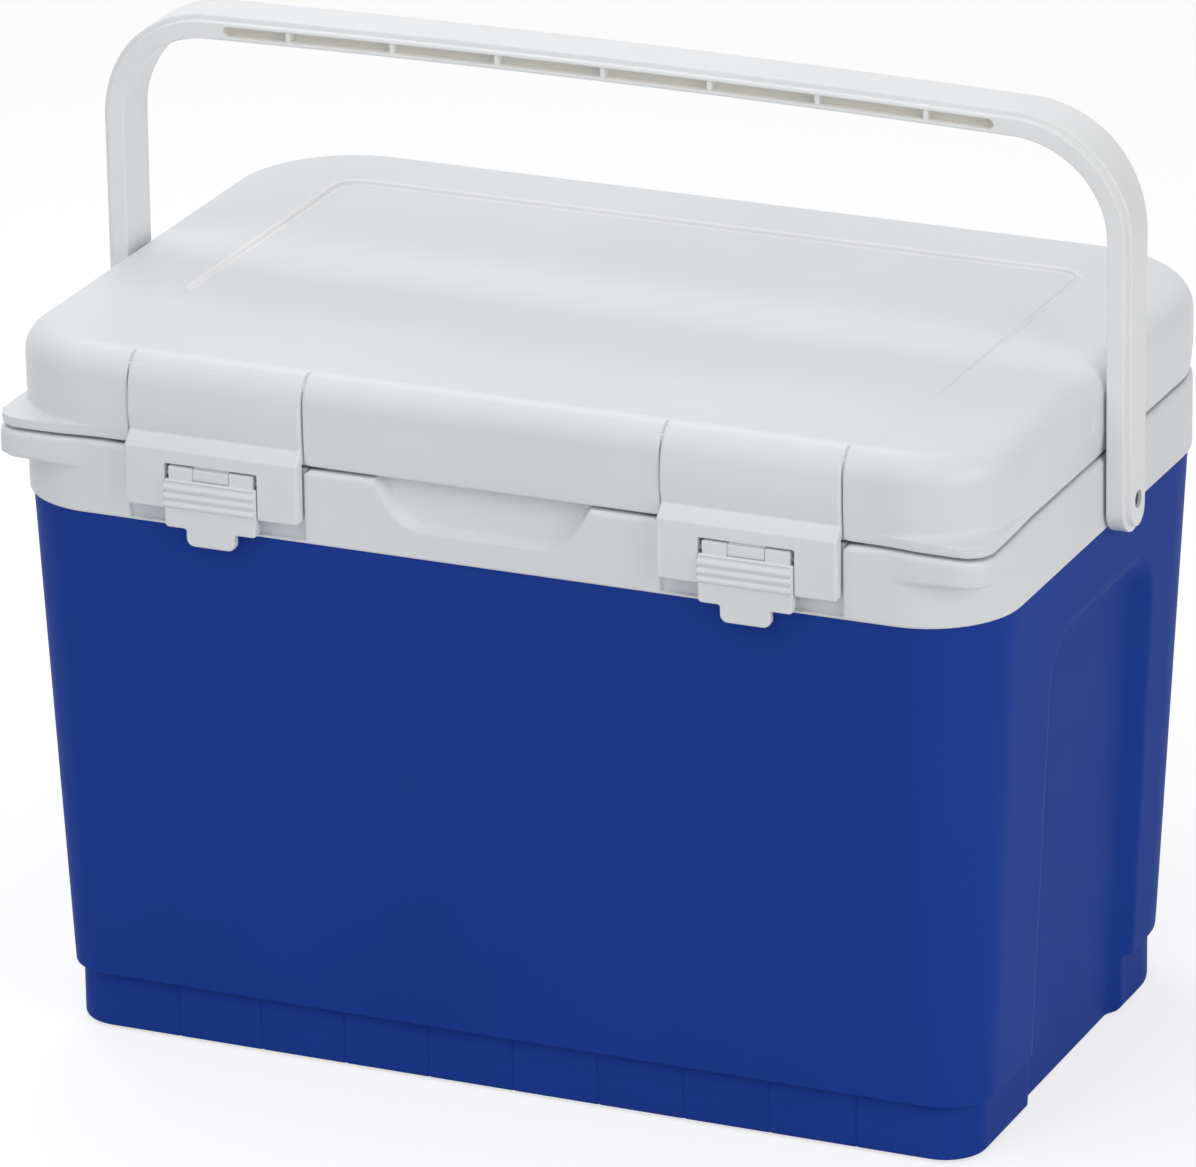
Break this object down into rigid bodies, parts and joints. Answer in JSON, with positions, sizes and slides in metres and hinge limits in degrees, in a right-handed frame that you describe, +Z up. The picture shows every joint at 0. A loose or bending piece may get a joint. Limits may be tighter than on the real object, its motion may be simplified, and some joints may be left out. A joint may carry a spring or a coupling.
{
  "type": "vaccine carrier",
  "caption": "Insulated vaccine carrier: tapered blue shell, white collar and hinged lid, pull-tab front latches, swinging carrying handle, liner, foam and upright ice packs.",
  "frame": {"origin": "on the floor, under the middle of the overall length and depth", "axes": "+X along the length of the box, -Y towards the latches, +Y towards the lid hinges, +Z up"},
  "size_m": [0.5054, 0.3276, 0.4604],
  "materials": {
    "blue_shell": "moulded blue polyethylene, satin, fine texture",
    "white_collar": "moulded white plastic, satin",
    "white_lid": "moulded white plastic, satin",
    "white_handle": "moulded white plastic, satin",
    "white_latch": "moulded white plastic, satin",
    "white_liner": "smooth food-grade white plastic",
    "foam": "rigid insulating foam, matt",
    "gasket": "soft grey sealing strip",
    "pad": "soft light grey foot pad",
    "pack_body": "translucent ice pack filled with water",
    "pack_cap": "moulded cap",
    "steel_pin": "plain steel pin",
    "handle_pin": "moulded pivot pin"
  },
  "bodies": {
    "carrier_body": {"outer_shell": "blue_shell", "foot_pads": "pad", "shell_foam": "foam", "inner_liner": "white_liner", "rim_collar": "white_collar", "ice_packs": "pack_body", "ice_pack_caps": "pack_cap", "hinge_pins": "steel_pin", "handle_pins": "handle_pin"},
    "handle": {"handle_legs": "white_handle", "handle_bends": "white_handle", "handle_grip": "white_handle"},
    "lid": {"lid_shell": "white_lid", "lid_foam": "foam", "lid_liner": "white_liner", "lid_gasket": "gasket", "latch_pins": "steel_pin"},
    "left_latch": {"left_latch_strap": "white_latch", "left_lever_pin": "steel_pin"},
    "right_latch": {"right_latch_strap": "white_latch", "right_lever_pin": "steel_pin"},
    "left_lever": {"left_latch_lever": "white_latch"},
    "right_lever": {"right_latch_lever": "white_latch"}
  },
  "joints": [
    {"name": "handle_swing", "type": "hinge", "parent": "carrier_body", "child": "handle", "pos_m": [0, 0, 0.2785], "axis": [1, 0, 0], "range_deg": [-110, 65]},
    {"name": "lid_hinge", "type": "hinge", "parent": "carrier_body", "child": "lid", "pos_m": [0, 0.15735, 0.30025], "axis": [-1, 0, 0], "range_deg": [0, 20]},
    {"name": "left_latch_swing", "type": "hinge", "parent": "lid", "child": "left_latch", "pos_m": [-0.1296, -0.1476, 0.33462], "axis": [-1, 0, 0], "range_deg": [0, 60]},
    {"name": "right_latch_swing", "type": "hinge", "parent": "lid", "child": "right_latch", "pos_m": [0.1296, -0.1476, 0.33462], "axis": [-1, 0, 0], "range_deg": [0, 60]},
    {"name": "left_lever_flip", "type": "hinge", "parent": "left_latch", "child": "left_lever", "pos_m": [-0.1296, -0.1579, 0.2912], "axis": [-1, 0, 0], "range_deg": [0, 50]},
    {"name": "right_lever_flip", "type": "hinge", "parent": "right_latch", "child": "right_lever", "pos_m": [0.1296, -0.1579, 0.2912], "axis": [-1, 0, 0], "range_deg": [0, 50]}
  ]
}
